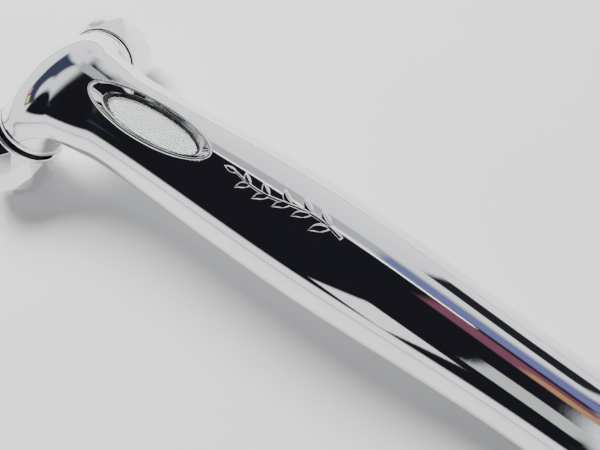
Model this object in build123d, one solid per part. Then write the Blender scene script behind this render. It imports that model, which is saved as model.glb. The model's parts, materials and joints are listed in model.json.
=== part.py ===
from build123d import *
from math import acos, cos, pi, radians, sin
import os

# A hand-held two-ball roller massager with a Y-shaped head, lying on its two balls and its tail.
# X runs across the handle, Y along it with the head at +Y, and Z is up.  All sizes are in millimetres.
# While it is built, y = 0 is at the middle of the window.  The finished pieces are moved together
# so that the origin is at the middle of the underside of the whole roller.

# ---- driving dimensions: overall ----
ball_radius = 9.5            # to the corners between the facets
ball_spread = 32.6           # between the two ball centres, across X
ball_reach = 35.6            # from the middle of the window forward to the ball centres
tail_reach = 101.5           # from the middle of the window back to the tip of the tail

# ---- handle ----
bow_radius = 480.0           # the handle's centreline is one long arc
window_slope = radians(2.3)  # how far the centreline climbs towards the head at the window
grip_half_width = 10.8
grip_station = -34.0         # where the grip is widest
tail_half_width = 9.0
tail_station = -84.0         # behind this the width stays the same up to the rounded tip
neck_half_width = 9.8
neck_station = 10.0          # in front of this the handle turns into the head
thickness_ratio = 0.86       # the section is an ellipse, this much thinner than it is wide
tail_dome = 9.0              # length of the rounded tip
handle_steps = 18            # sections from the tail's rounded end to the head
shell_wall = 1.6
parting_drop = 0.7           # the shells part this far below the centreline

# ---- head: two arms that curve over and end square to the axles ----
axle_splay = radians(35.0)   # each axle leans outwards by this much
axle_rake = radians(40.0)    # and both lean forwards from straight down by this much
arm_root_radius = 7.6
arm_end_radius = 6.8
arm_root_offset = 1.6        # from the middle of the handle to each arm's root
arm_root_reach = 25.5        # from the ball centres back to the arms' roots
arm_root_pull = 9.0          # how long the arm keeps the handle's direction
arm_end_pull = 8.5           # how long the arm keeps the axle's direction
arm_bore = 4.6               # straight bore along the axle, from the arm's end into the handle
arm_bore_length = 21.0       # from the ball centre
hollow_dome = 8.0            # length of the hollow's rounded end, inside the head
arm_end = 11.5               # from the ball centre back to the arm's end, along the axle
hood_half_width = 12.3       # the handle spreads into a hood between the arms, down to the fork
hood_half_height = 7.8
hood_lift = 1.0              # how far it stands out beyond the arms' own middle line
hood_full = 0.75             # share of the arms' length along which the hood is full
hood_end = 0.93              # share of the arms' length at the fork

# ---- axle stack, measured from the ball centre along the axle ----
axle_radius = 1.5
axle_tail = 20.4             # back from the ball centre
axle_tip = 4.4               # out from the ball centre
shoulder_radius = 2.6
shoulder_start = 13.0
shoulder_end = 9.35
running_clearance = 0.04
seat_clearance = 0.02        # between pieces that are pressed or glued together
collar_thickness = 1.2
flange_thickness = 0.9
flange_radius = 7.3
crown_height = 8.1           # from the ball centre back to the flange's seat
crown_radius = 6.9
collar_radius = 6.9
collar_spigot = 1.0
seat_step = 0.6              # the arm's mouth is this much wider than its bore
seal_radius = 5.2
seal_gap = 0.12
core_radius = 6.0
core_wall_gap = 0.05
bush_radius = 3.0
inner_bush_length = 4.4
outer_bush_start = -1.2
outer_bush_length = 4.2
clip_gap = 0.1
clip_thickness = 0.5
clip_radius = 2.3
clip_mouth = 1.4
clip_groove_radius = 1.2
pocket_radius = 2.6
cap_room = 0.3               # free space past the end of the axle
cap_thickness = 0.5
edge_round = 0.35

# ---- facets of the balls ----
facets_round = 12
crown_ring_angle = radians(62.0)   # from the flange side's pole
middle_ring_angle = radians(90.0)
lower_ring_angle = radians(118.0)
end_ring_angle = radians(163.0)

# ---- window ----
window_half_length = 14.8
window_half_width = 4.4
rim_width = 0.55
rim_proud = 0.2
lens_half_length = 11.6
lens_half_width = 3.3
dish_depth = 1.5
lens_ledge = 0.25
lens_thickness = 1.1
gasket_thickness = 0.5
gasket_width = 0.9
cell_thickness = 0.4
carrier_roof = 1.0
carrier_wall = 1.2
carrier_margin = 1.2

# ---- inside the handle ----
chassis_half_width = 4.2
chassis_top = 1.0            # how far its top lies below the centreline
chassis_thickness = 3.0
chassis_back = -66.0
chassis_front = 18.6
screw_stations = (-56.0, -18.0)
boss_radius = 2.6
screw_radius = 0.85
screw_hole_radius = 1.1
screw_head_radius = 1.8
screw_head_height = 1.2
screw_length = 6.5
wire_radius = 0.4
wire_hole_radius = 0.6
wire_offset = 1.9
wire_height = 2.9
spring_station = -25.0
spring_clearance = 0.6
seat_gap = 0.05              # under pieces that sit on the chassis's long curve
wire_bend = 1.0
spring_thickness = 0.3
spring_width = 3.0

# ---- axle block in the head ----
sleeve_radius = 3.4
block_width = 9.6
block_length = 6.5
block_height = 5.0
block_room = 0.4
block_setback = 12.8         # from the ball centres back to the middle of the block
block_lift = 12.0            # from the ball centres up to the middle of the block
lug_width = 7.6
lug_thickness = 2.0
neck_length = 10.0           # room for the front of the chassis, behind the block
lug_back = 14.0
lug_screw_station = 16.3
lug_screw_length = 4.6

# ---- raised ornament on the grip ----
ornament_station = -30.5
ornament_half_length = 10.5
ornament_proud = 0.28
stem_half_width = 0.33
leaf_pairs = 5
leaf_length = 4.0
leaf_half_width = 0.85
leaf_angle = 38.0
stem_sway = 0.8

sides = {"left": -1, "right": 1}


def lean(s):
    """Angle of the centreline above level at station s, measured along the handle."""
    return window_slope - s / bow_radius


def blend(share):
    """0 to 1 with level ends, for a share of the way that may run past either end."""
    share = min(max(share, 0.0), 1.0)
    return (1 - cos(pi * share)) / 2


def half_width(s):
    if s < grip_station:
        share = blend((grip_station - s) / (grip_station - tail_station))
        return grip_half_width + (tail_half_width - grip_half_width) * share
    share = blend((s - grip_station) / (neck_station - grip_station))
    return grip_half_width + (neck_half_width - grip_half_width) * share


def half_height(s):
    return half_width(s) * thickness_ratio


def drop(s):
    """How far the centreline at station s lies below its height at the window."""
    return (cos(window_slope) - cos(lean(s))) * bow_radius


# Ball centres stand one facet's distance above the table, and the tail's underside touches it.
half_facet = pi / facets_round
axle_tilt = acos(cos(axle_splay) * cos(axle_rake))
rest_angle = pi - axle_tilt
rest_cosine = (cos(lower_ring_angle) * cos(rest_angle)
               + sin(lower_ring_angle) * sin(rest_angle) * cos(half_facet))
fourth_ring_angle = rest_angle + acos(rest_cosine)
ball_height = ball_radius * rest_cosine

dome_station = -tail_reach + tail_dome
root_station = ball_reach - arm_root_reach
tail_samples = [dome_station - tail_dome * sin(radians(a)) for a in range(0, 86, 5)]
tail_bottoms = [drop(s) + half_height(s) * cos(lean(s)) * cos(radians(a))
                for s, a in zip(tail_samples, range(0, 86, 5))]
window_height = max(tail_bottoms)


def centre(s):
    """Point on the centreline."""
    y = (sin(window_slope) - sin(lean(s))) * bow_radius
    return Vector(0, y, window_height - drop(s))


def station(s):
    """Plane square to the centreline."""
    return Plane(origin=centre(s), x_dir=(1, 0, 0), z_dir=(0, cos(lean(s)), sin(lean(s))))


def top_plane(s):
    """Plane along the handle at station s, with its own Z pointing out of the top."""
    return Plane(origin=centre(s), x_dir=(1, 0, 0), z_dir=(0, -sin(lean(s)), cos(lean(s))))


def axle_direction(side):
    return Vector(side * sin(axle_splay), cos(axle_splay) * sin(axle_rake),
                  -cos(axle_splay) * cos(axle_rake))


def ball_centre(side):
    return Vector(side * ball_spread / 2, ball_reach, ball_height)


def axle_frame(side):
    """Location with its origin at the ball centre, Z along the axle and X on the downhill side."""
    along = axle_direction(side)
    down = Vector(0, 0, -1)
    downhill = down - along * down.dot(along)
    return Plane(origin=ball_centre(side), x_dir=downhill, z_dir=along).location


def arm_path(side):
    """Cubic curve from inside the handle to the arm's end."""
    end = ball_centre(side) - axle_direction(side) * arm_end
    root = centre(root_station) + Vector(side * arm_root_offset, 0, 0)
    heading = Vector(0, cos(lean(root_station)), sin(lean(root_station)))
    return Bezier(root, root + heading * arm_root_pull,
                  end - axle_direction(side) * arm_end_pull, end)


def arm_body(side):
    path = arm_path(side)
    steps = (0, 0.2, 0.4, 0.6, 0.8, 1)
    sections = []
    for t in steps:
        radius = arm_root_radius + (arm_end_radius - arm_root_radius) * blend(t)
        place = Plane(origin=path @ t, z_dir=path % t)
        sections.append(place * Circle(radius))
    return loft(sections)


def handle_sections(grow):
    """Sections of the handle from its rounded tail up to the head, larger all round by grow."""
    sections = []
    for angle in (10, 25, 40, 55, 70, 80, 90):
        k = sin(radians(angle))
        s = dome_station - (tail_dome + grow) * cos(radians(angle))
        sections.append(station(s) * Ellipse((half_width(s) + grow) * k, (half_height(s) + grow) * k))
    for i in range(1, handle_steps):
        s = dome_station + (root_station - dome_station) * i / handle_steps
        sections.append(station(s) * Ellipse(half_width(s) + grow, half_height(s) + grow))
    return sections


def spine_body(grow):
    """The handle and the hood it spreads into, down to the fork, larger all round by grow."""
    sections = handle_sections(grow)
    path = arm_path(1)
    places = [(hood_full * i / 4, 1.0) for i in range(5)]
    for angle in (62, 38, 16):
        t = hood_full + (hood_end - hood_full) * cos(radians(angle))
        places.append((t, sin(radians(angle))))
    for t, k in places:
        share = min(t / hood_full, 1.0)
        spot = path @ t
        heading = path % t
        ahead = Vector(0, heading.Y, heading.Z).normalized()
        out = Vector(0, -ahead.Z, ahead.Y)
        wide = neck_half_width + (hood_half_width - neck_half_width) * share
        high = neck_half_width * thickness_ratio
        high = high + (hood_half_height - high) * share
        middle = Vector(0, spot.Y, spot.Z) + out * hood_lift * blend(share)
        place = Plane(origin=middle, x_dir=(1, 0, 0), z_dir=ahead)
        sections.append(place * Ellipse((wide + grow) * k, (high + grow) * k))
    return loft(sections)


def handle_hollow():
    """Space inside the handle, from the tail to a rounded end in the head."""
    sections = handle_sections(-shell_wall)
    for angle in (90, 78, 65, 50, 35, 20):
        k = sin(radians(angle))
        s = root_station + hollow_dome * cos(radians(angle))
        high = half_height(s) - shell_wall
        sections.append(station(s) * Ellipse((half_width(s) - shell_wall) * k, high * k))
    return loft(sections)


def solid_body():
    """Everything inside the skin of the handle and head."""
    return spine_body(0) + arm_body(-1) + arm_body(1)


def along_axle(side, start, end, radius, bore=0.0):
    """Round bar or tube on the axle, between two distances out from the ball centre."""
    bar = Pos(0, 0, start) * extrude(Circle(radius), end - start)
    if bore > 0:
        bar = bar - Pos(0, 0, start - 1) * extrude(Circle(bore), end - start + 2)
    return axle_frame(side) * bar


def lower_half():
    """All the space under the parting line, which follows the centreline and then the arms."""
    down = Vector(0, 0, -parting_drop)
    back = Line(centre(-tail_reach - 4) + down, centre(-tail_reach) + down)
    steps = 8
    stations = [-tail_reach + i * (root_station + tail_reach) / steps for i in range(steps)]
    points = [centre(s) + down for s in stations]
    for t in (0, 0.25, 0.5, 0.75, 1):
        spot = arm_path(1) @ t
        points.append(Vector(0, spot.Y, spot.Z) + down)
    heading = axle_direction(1)
    tip = points[-1] + Vector(0, heading.Y, heading.Z) * 14
    seam = Spline(points, tangents=[centre(-tail_reach + 1) - centre(-tail_reach),
                                    Vector(0, heading.Y, heading.Z)])
    first = back @ 0
    below = -30.0
    edges = [back, seam, Line(points[-1], tip), Line(tip, (0, tip.Y, below)),
             Line((0, tip.Y, below), (0, first.Y, below)), Line((0, first.Y, below), first)]
    side_view = make_face(Wire(edges))
    return extrude(side_view, 40, dir=(1, 0, 0), both=True)


def oval_bar(half_length, half_width_, low, high):
    """Upright oval bar at the window, between two heights above the centreline."""
    outline = Ellipse(half_width_, half_length)
    return top_plane(0) * Pos(0, 0, low) * extrude(outline, high - low)


pieces = {}
block_middle = Vector(0, ball_reach - block_setback, ball_height + block_lift)
block_back = block_middle.Y - block_length / 2
arm_seat = arm_bore + seat_step

# ---- skin: one hollow body, split along the sides into an upper and a lower shell ----
outside = solid_body()
skin = outside - handle_hollow()
for side in sides.values():
    skin = skin - along_axle(side, -arm_bore_length, -arm_end + 1, arm_bore)
skin = skin - Pos(*block_middle) * Box(*[size + 2 * block_room
                                         for size in (block_width, block_length, block_height)])
neck_floor = -chassis_top - chassis_thickness - block_room
neck_roof = wire_height + wire_radius + block_room
skin = skin - top_plane(lug_screw_station) * Pos(0, 0, (neck_floor + neck_roof) / 2) * Box(
    chassis_half_width * 2 + 2 * block_room, neck_length, neck_roof - neck_floor)
for side in sides.values():
    skin = skin - along_axle(side, -arm_end - collar_spigot - seat_gap, -arm_end + 1, arm_seat)
window_top = half_height(0)
skin = skin - oval_bar(window_half_length + seat_clearance, window_half_width + seat_clearance,
                       0, window_top + 5)
under = lower_half()
lower_shell = skin & under
upper_shell = skin - under

# Bosses stand on the lower shell's floor and take the screws that hold the chassis.
chassis_floor = -chassis_top - chassis_thickness
floor_space = spine_body(-shell_wall / 2) & under
for s in screw_stations:
    boss_height = half_height(s) + chassis_floor - seat_gap
    boss = top_plane(s) * Pos(0, 0, -half_height(s)) * extrude(Circle(boss_radius), boss_height)
    drill = top_plane(s) * Pos(0, 0, chassis_floor - screw_length + chassis_thickness)
    lower_shell = lower_shell + (boss & floor_space)
    lower_shell = lower_shell - drill * extrude(Circle(screw_radius + seat_clearance), screw_length)
pieces["handle_upper_shell"] = upper_shell
pieces["handle_lower_shell"] = lower_shell

# ---- chassis: a bar along the handle, under the centreline ----
def chassis_line(height):
    back, middle, front = (top_plane(s) * Pos(0, 0, height)
                           for s in (chassis_back, (chassis_back + chassis_front) / 2, chassis_front))
    return [p.position for p in (back, middle, front)]


top_line = chassis_line(-chassis_top)
floor_line = chassis_line(chassis_floor)
chassis_edges = [ThreePointArc(*top_line), Line(top_line[2], floor_line[2]),
                 ThreePointArc(*reversed(floor_line)), Line(floor_line[0], top_line[0])]
chassis = extrude(make_face(Wire(chassis_edges)), chassis_half_width, dir=(1, 0, 0), both=True)
for s in screw_stations:
    chassis = chassis - top_plane(s) * Pos(0, 0, -half_height(s)) * extrude(
        Circle(screw_hole_radius), half_height(s) + 2)

# ---- window, from the rim down to the chassis ----
lens_top = window_top - dish_depth
lens_floor = lens_top - lens_thickness
rim_outside = oval_bar(window_half_length, window_half_width, lens_floor, window_top + 5)
proud_body = spine_body(rim_proud)
bezel = rim_outside & proud_body
# The dish slopes from the rim down to a narrow ledge round the lens; it is cut from 1 mm above.
dish_rise = dish_depth + rim_proud
dish_grow = 1 + 1 / dish_rise
dish_floor = (lens_half_width + lens_ledge, lens_half_length + lens_ledge)
dish_mouth = (window_half_width - rim_width * 0.4, window_half_length - rim_width)
dish_top = [low + (high - low) * dish_grow for low, high in zip(dish_floor, dish_mouth)]
dish = loft([top_plane(0) * Pos(0, 0, lens_top) * Ellipse(*dish_floor),
             top_plane(0) * Pos(0, 0, lens_top + dish_rise * dish_grow) * Ellipse(*dish_top)])
bezel = bezel - dish
bezel = bezel - oval_bar(lens_half_length, lens_half_width, lens_floor - 1, window_top)
pieces["window_bezel"] = bezel

lens = oval_bar(lens_half_length - seat_clearance, lens_half_width - seat_clearance,
                lens_floor, lens_top)
lens_edges = lens.edges().filter_by(GeomType.ELLIPSE).sort_by(Axis.Z)[-1]
pieces["window_lens"] = fillet(lens_edges, 0.35)

gasket_floor = lens_floor - gasket_thickness
gasket = oval_bar(window_half_length - carrier_margin, window_half_width - 0.5,
                  gasket_floor, lens_floor)
gasket = gasket - oval_bar(lens_half_length - gasket_width, lens_half_width - gasket_width / 2,
                           gasket_floor - 1, lens_floor + 1)
pieces["lens_gasket"] = gasket

cell_top = gasket_floor
cell_half = (lens_half_length - gasket_width / 2, lens_half_width - gasket_width / 4)
cell = top_plane(0) * Pos(0, 0, cell_top - cell_thickness / 2) * Box(
    cell_half[1] * 2, cell_half[0] * 2, cell_thickness)
pieces["solar_cell"] = cell

# The carrier is an upturned tray that holds the cell up under the window and hides the wires.
carrier_floor = -chassis_top
carrier_top = cell_top - cell_thickness
carrier_ceiling = carrier_top - carrier_roof
carrier_half_length = window_half_length - carrier_margin
carrier_half_width = chassis_half_width - 0.5


def window_box(half_length, half_width_, low, high):
    """Box at the window, between two heights above the centreline."""
    block = Box(half_width_ * 2, half_length * 2, high - low)
    return top_plane(0) * Pos(0, 0, (low + high) / 2) * block


carrier = window_box(carrier_half_length, carrier_half_width, carrier_floor, carrier_top)
carrier = carrier - window_box(carrier_half_length - carrier_wall, carrier_half_width - carrier_wall,
                               carrier_floor - 1, carrier_ceiling)

# ---- wires: one runs forward to the axle block, one back to the contact spring ----

def wire_run(points):
    """Round wire along straight runs joined by arcs, and the clear holes it needs."""
    route = FilletPolyline(*points, radius=wire_bend)
    start = Plane(origin=route @ 0, z_dir=route % 0)
    return sweep(start * Circle(wire_radius), path=route)


def hole_between(first, second):
    """Clear hole for a wire, between two points."""
    step = second - first
    return Plane(origin=first, z_dir=step) * extrude(Circle(wire_hole_radius), step.length)


def inside(x, s, height):
    """Point inside the handle: across, along, and up from the centreline."""
    return (top_plane(s) * Pos(x, 0, height)).position


front_corner = inside(wire_offset, 4.0, wire_height)
front_end = Vector(wire_offset, block_back, front_corner.Z)
front_route = [inside(wire_offset, 4.0, carrier_ceiling), front_corner, front_end]
pieces["lead_wire_to_axles"] = wire_run(front_route)
back_corner = inside(-wire_offset, -4.0, wire_height)
back_turn = inside(-wire_offset, spring_station, wire_height)
back_end = inside(-wire_offset, spring_station, chassis_floor)
pieces["lead_wire_to_handle"] = wire_run([inside(-wire_offset, -4.0, carrier_ceiling), back_corner,
                                          back_turn, back_end])
carrier = carrier - hole_between(front_corner, front_end)
carrier = carrier - hole_between(back_corner, back_turn)
chassis = chassis - hole_between(back_turn, back_end + (back_end - back_turn) * 0.2)
pieces["cell_carrier"] = carrier

# The contact spring is a bent strip under the chassis that bears on the lower shell.
spring_reach = half_height(spring_station) - shell_wall + chassis_floor - spring_clearance
spring_heading = station(spring_station).z_dir
spring_frame = Plane(origin=inside(-wire_offset, spring_station, chassis_floor),
                     x_dir=spring_heading, z_dir=(1, 0, 0))
spring_back = -seat_gap - spring_thickness
spring_points = [(3, -seat_gap), (-3, -seat_gap), (-6, -spring_reach + spring_thickness),
                 (-9, -spring_reach + spring_thickness), (-9, -spring_reach), (-6.3, -spring_reach),
                 (-3.2, spring_back), (3, spring_back)]
spring_side = spring_frame * make_face(Polyline(*spring_points, close=True))
pieces["contact_spring"] = extrude(spring_side, spring_width / 2, both=True)

# ---- axle block: a casting that holds both axles and is screwed to the chassis ----
block = Pos(*block_middle) * Box(block_width, block_length, block_height)
for side in sides.values():
    block = block + along_axle(side, -axle_tail, -shoulder_start - 0.1, sleeve_radius)
lug_length = block_back + 1 - lug_back
lug_height = centre(lug_screw_station).Z - chassis_top
block = block + Pos(0, lug_back + lug_length / 2, lug_height + lug_thickness / 2) * Box(
    lug_width, lug_length, lug_thickness)
for side in sides.values():
    block = block - along_axle(side, -axle_tail - 0.1, 0, axle_radius + seat_clearance)
block = block - top_plane(lug_screw_station) * Pos(0, 0, -3) * extrude(Circle(screw_hole_radius), 6)
pieces["axle_block"] = block
seat = Pos(0, lug_back + lug_length / 2, lug_height + 1) * Box(
    chassis_half_width * 2 + 1, lug_length + 1, 2)
chassis = chassis - seat
chassis = chassis - top_plane(lug_screw_station) * Pos(0, 0, -chassis_top + lug_thickness
                                                       - lug_screw_length) * extrude(
    Circle(screw_radius + seat_clearance), lug_screw_length)
pieces["chassis"] = chassis


def screw(s, under_head, length):
    """Round-headed screw along a top plane, with its head's underside at a given height."""
    shank = Pos(0, 0, under_head - length) * extrude(Circle(screw_radius), length)
    head = Pos(0, 0, under_head) * extrude(Circle(screw_head_radius), screw_head_height)
    head = head - Pos(0, 0, under_head + screw_head_height - 0.5) * extrude(Rectangle(2.2, 0.5), 1)
    head = head - Pos(0, 0, under_head + screw_head_height - 0.5) * extrude(Rectangle(0.5, 2.2), 1)
    return top_plane(s) * (shank + head)


pieces["chassis_screws"] = Part(children=[screw(s, -chassis_top, screw_length)
                                          for s in screw_stations])
pieces["block_screw"] = screw(lug_screw_station, -chassis_top + lug_thickness + seat_gap,
                               lug_screw_length)

# ---- ornament: a leafy sprig in low relief on top of the grip ----
def leaf(length, half, angle):
    """Pointed leaf that starts at the origin and points along Y, turned by an angle."""
    right = ThreePointArc((0, 0), (half, length / 2), (0, length))
    left = ThreePointArc((0, length), (-half, length / 2), (0, 0))
    return Rot(0, 0, angle) * make_face(Wire([right, left]))


half = ornament_half_length
stem = Spline((0, -half), (stem_sway, -half / 2), (0, 0), (-stem_sway, half / 2), (0, half))
sprig = trace(stem, stem_half_width * 2)
for i in range(leaf_pairs):
    share = (i + 0.6) / (leaf_pairs + 0.6)
    spot = stem @ share
    size = 1 - 0.35 * share
    for turn in (-leaf_angle, leaf_angle):
        sprig = sprig + Pos(spot.X, spot.Y) * leaf(leaf_length * size, leaf_half_width * size, turn)
sprig = sprig + Pos(0, half - 0.4) * leaf(leaf_length * 0.7, leaf_half_width * 0.8, 0)
sprig = sprig + Pos(0, -half) * Circle(stem_half_width * 1.8)
band = spine_body(ornament_proud) - spine_body(0)
pieces["grip_ornament"] = top_plane(ornament_station) * extrude(sprig, grip_half_width + 2) & band

# ---- axle stacks ----
collar_end = arm_end - collar_thickness
flange_top = crown_height + flange_thickness
inner_bush_start = flange_top
outer_bush_end = outer_bush_start + outer_bush_length
clip_start = outer_bush_end + clip_gap
clip_end = clip_start + clip_thickness
cap_start = axle_tip + cap_room
cap_end = cap_start + cap_thickness


def tube(start, end, radius, bore=0.0):
    """Round bar or tube on the Z axis of the axle's own frame."""
    ring = Circle(radius)
    if bore > 0:
        ring = ring - Circle(bore)
    return Pos(0, 0, start) * extrude(ring, end - start)


def make_axle():
    rod = tube(-axle_tail, axle_tip, axle_radius)
    rod = chamfer(rod.edges().filter_by(GeomType.CIRCLE), 0.25)
    rod = rod + tube(-shoulder_start, -shoulder_end, shoulder_radius)
    return rod - tube(clip_start - seat_clearance, clip_end + seat_clearance, axle_radius + 1,
                      clip_groove_radius)


def make_collar():
    ring = tube(-arm_end, -collar_end, collar_radius)
    ring = fillet(ring.edges().filter_by(GeomType.CIRCLE).sort_by(Axis.Z)[-1], edge_round)
    ring = ring + tube(-arm_end - collar_spigot, -arm_end, arm_seat - seat_clearance)
    return ring - tube(-arm_end - collar_spigot - 1, 0, shoulder_radius + seat_clearance)


def make_seal():
    ring = tube(-collar_end, -flange_top - seal_gap, seal_radius)
    ring = fillet(ring.edges().filter_by(GeomType.CIRCLE), edge_round)
    return ring - tube(-arm_end, 0, shoulder_radius + seat_clearance)


def make_flange():
    ring = tube(-flange_top, -crown_height, flange_radius)
    ring = fillet(ring.edges().filter_by(GeomType.CIRCLE), edge_round)
    return ring - tube(-arm_end, 0, bush_radius + seat_clearance)


def make_inner_bush():
    return tube(-inner_bush_start, -inner_bush_start + inner_bush_length, bush_radius,
                axle_radius + running_clearance)


def make_outer_bush():
    return tube(outer_bush_start, outer_bush_end, bush_radius, axle_radius + running_clearance)


def make_clip():
    ring = tube(clip_start, clip_end, clip_radius, clip_groove_radius + seat_clearance)
    return ring - Pos(clip_radius, 0, clip_start - 1) * extrude(Rectangle(clip_radius * 2, clip_mouth), 3)


def bullet(radius, back, front):
    """Round bar with a domed end about the ball's centre, cut off flat at the front."""
    shape = tube(-back, 0, radius) + Sphere(radius)
    return shape & tube(-back, front, radius + 1)


def make_core():
    core = bullet(core_radius, crown_height, cap_end)
    core = core - tube(-crown_height - 1, -inner_bush_start + inner_bush_length,
                       bush_radius + seat_clearance)
    core = core - tube(-crown_height, outer_bush_start, axle_radius + 0.6)
    core = core - tube(outer_bush_start, outer_bush_end, bush_radius + seat_clearance)
    return core - tube(outer_bush_end, cap_end + 1, pocket_radius)


def make_cap():
    return tube(cap_start, cap_end, pocket_radius - seat_clearance)


def facet_ring(radius, height, turn):
    """Corners of one ring of facets, in the axle's own frame."""
    angles = [turn + i * 2 * pi / facets_round for i in range(facets_round)]
    return [(radius * cos(a), radius * sin(a), height) for a in angles]


def make_ball_shell():
    corners = facet_ring(crown_radius, -crown_height, 0)
    for angle, turn in ((crown_ring_angle, half_facet), (middle_ring_angle, 0),
                        (lower_ring_angle, half_facet), (fourth_ring_angle, 0),
                        (end_ring_angle, half_facet)):
        corners += facet_ring(ball_radius * sin(angle), -ball_radius * cos(angle), turn)
    gem = ConvexPolyhedron(corners)
    return gem - bullet(core_radius + core_wall_gap, crown_height + 1, ball_radius)


makers = {"axle": make_axle, "collar_ring": make_collar, "seal_ring": make_seal,
          "ball_flange": make_flange, "inner_bush": make_inner_bush, "outer_bush": make_outer_bush,
          "axle_clip": make_clip, "ball_core": make_core, "core_cap": make_cap,
          "ball_shell": make_ball_shell}
for hand, side in sides.items():
    for name, maker in makers.items():
        pieces[hand + "_" + name] = axle_frame(side) * maker()

# ---- put the origin at the middle of the underside, and write one file for each piece ----
box = Compound(children=[Compound(p.solids()) for p in pieces.values()]).bounding_box()
shift = Pos(-(box.min.X + box.max.X) / 2, -(box.min.Y + box.max.Y) / 2, -box.min.Z)
print("size", [round(v, 3) for v in (box.size.X, box.size.Y, box.size.Z)])
print("shift", [round(v, 4) for v in shift.position])
for hand, side in sides.items():
    print(hand, "ball centre", [round(v, 4) for v in (shift * Pos(*ball_centre(side))).position],
          "axle", [round(v, 5) for v in axle_direction(side)])
os.makedirs("parts", exist_ok=True)
for name, piece in pieces.items():
    export_step(shift * Compound(piece.solids()), "parts/" + name + ".step")
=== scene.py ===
import json
import math

import bmesh
import bpy
import numpy as np
from mathutils import Matrix


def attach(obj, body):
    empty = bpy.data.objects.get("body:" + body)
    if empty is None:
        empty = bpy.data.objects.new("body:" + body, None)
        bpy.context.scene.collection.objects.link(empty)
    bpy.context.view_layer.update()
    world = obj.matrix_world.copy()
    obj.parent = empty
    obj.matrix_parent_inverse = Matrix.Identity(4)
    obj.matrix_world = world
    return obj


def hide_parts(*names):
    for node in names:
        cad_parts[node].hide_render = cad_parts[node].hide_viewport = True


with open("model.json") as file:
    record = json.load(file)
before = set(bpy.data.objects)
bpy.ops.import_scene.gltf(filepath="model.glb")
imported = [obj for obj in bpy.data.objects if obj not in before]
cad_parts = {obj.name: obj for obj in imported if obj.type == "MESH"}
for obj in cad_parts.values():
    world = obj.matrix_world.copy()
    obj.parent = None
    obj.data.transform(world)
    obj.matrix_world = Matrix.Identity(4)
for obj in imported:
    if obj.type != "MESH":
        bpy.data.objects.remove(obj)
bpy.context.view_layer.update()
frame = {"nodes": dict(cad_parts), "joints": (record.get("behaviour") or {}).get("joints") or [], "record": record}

# Chrome two-ball roller massager on a pale table. Lengths in the formulas are millimetres;
# they are turned into metres when a mesh is made. x runs across, y along, z up.
mm = 0.001

handleShape = {
    "bow": 480.0, "slope": math.radians(2.3), "gripHalf": 10.8, "gripAt": -34.0,
    "tailHalf": 9.0, "tailAt": -84.0, "neckHalf": 9.8, "neckAt": 10.0, "flatness": 0.86,
    "tailReach": 101.5, "tailDome": 9.0, "headReach": 35.6, "partingDrop": 0.7,
}
armShape = {
    "rootRadius": 7.6, "endRadius": 6.8, "rootOffset": 1.6, "rootReach": 25.5,
    "rootPull": 9.0, "endPull": 8.5, "end": 11.5, "edge": 0.5, "fork": 2.6,
    "forkFrom": 17, "forkRun": 9, "samples": 700,
}
hoodShape = {"halfWidth": 12.3, "halfHeight": 7.8, "lift": 1.0, "full": 0.75, "end": 0.93}
skinShape = {"voxel": 0.36, "pocketHalf": (4.1, 14.5), "pocketDepth": 5.2, "pocketEdge": 0.15}
bezelShape = {
    "half": (4.4, 14.8), "rim": 0.55, "proud": 0.22, "lensHalf": (3.3, 11.6), "ledge": 0.25,
    "dish": 1.5, "lensThick": 1.1, "around": 192,
}
sprigShape = {
    "at": -30.5, "half": 10.5, "proud": 0.3, "stemHalf": 0.33, "pairs": 5, "leaf": 4.0,
    "leafHalf": 0.85, "angle": math.radians(38), "sway": 0.8,
}
ballShape = {
    "radius": 9.5, "crownRadius": 6.9, "crownHeight": 8.1, "round": 12,
    "rings": (62.0, 90.0, 118.0, None, 163.0), "bevel": 0.13,
}
collarShape = {"outer": 6.9, "inner": 2.62, "start": -11.5, "end": -10.3, "edge": 0.35}
flangeShape = {"outer": 7.3, "inner": 3.02, "start": -9.0, "end": -8.1, "edge": 0.35}

joints = {j["name"]: j for j in frame["joints"]}
hands = {"left": -1, "right": 1}
ballAt = {}
axleAlong = {}
for hand in hands:
    joint = joints[hand + "_ball_spin"]
    ballAt[hand] = np.array(joint["pos_m"], float) / mm
    along = np.array(joint["axis"], float)
    axleAlong[hand] = along / np.linalg.norm(along)
windowY = ballAt["right"][1] - handleShape["headReach"]


# Shape of the handle: one long arc seen from the side, with elliptic sections.
def ease(share):
    share = np.clip(share, 0, 1)
    return (1 - np.cos(np.pi * share)) / 2


def lean(s):
    return handleShape["slope"] - s / handleShape["bow"]


def halfWidth(s):
    h = handleShape
    toTail = ease((h["gripAt"] - s) / (h["gripAt"] - h["tailAt"]))
    toNeck = ease((s - h["gripAt"]) / (h["neckAt"] - h["gripAt"]))
    back = h["gripHalf"] + (h["tailHalf"] - h["gripHalf"]) * toTail
    front = h["gripHalf"] + (h["neckHalf"] - h["gripHalf"]) * toNeck
    return np.where(s < h["gripAt"], back, front)


def drop(s):
    return (math.cos(handleShape["slope"]) - np.cos(lean(s))) * handleShape["bow"]


# the tail's underside touches the table, which sets the height of the middle line
domeAt = handleShape["tailDome"] - handleShape["tailReach"]
tailAngle = np.radians(np.arange(0, 86, 5))
tailS = domeAt - handleShape["tailDome"] * np.sin(tailAngle)
tailHigh = halfWidth(tailS) * handleShape["flatness"]
tailDepth = drop(tailS) + tailHigh * np.cos(lean(tailS)) * np.cos(tailAngle)
lineHeight = float(tailDepth.max())


def middleLine(s):
    y = windowY + (math.sin(handleShape["slope"]) - np.sin(lean(s))) * handleShape["bow"]
    return y, lineHeight - drop(s)


rootAt = handleShape["headReach"] - armShape["rootReach"]


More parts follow.
